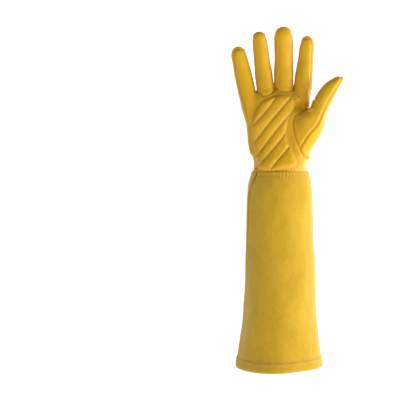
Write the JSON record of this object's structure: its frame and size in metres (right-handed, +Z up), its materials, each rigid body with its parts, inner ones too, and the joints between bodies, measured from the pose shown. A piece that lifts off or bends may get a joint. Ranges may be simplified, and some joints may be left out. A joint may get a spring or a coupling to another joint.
{
  "type": "rose pruning gauntlet",
  "caption": "Right-hand leather work glove with a quilted palm pad, a gathered wrist and a long flared suede cuff that covers the forearm.",
  "frame": {"origin": "middle of the cuff's mouth, where the arm goes in", "axes": "+Z runs up the arm to the fingertips, -Y is the palm's side, and +X is the thumb's side"},
  "size_m": [0.1458, 0.1014, 0.4487],
  "materials": {
    "grain_leather": "smooth golden yellow grain leather",
    "suede": "napped yellow suede"
  },
  "bodies": {
    "root": {"palm_front": "grain_leather", "ring_front": "grain_leather", "middle_front": "grain_leather", "back_panel": "grain_leather", "fourchette_little_ring": "grain_leather", "fourchette_ring_middle": "grain_leather", "fourchette_middle_index": "grain_leather", "thumb_front": "grain_leather", "thumb_back": "grain_leather", "palm_pad": "grain_leather", "cuff_front": "suede", "cuff_back": "suede", "cuff_hem": "suede"}
  },
  "joints": []
}
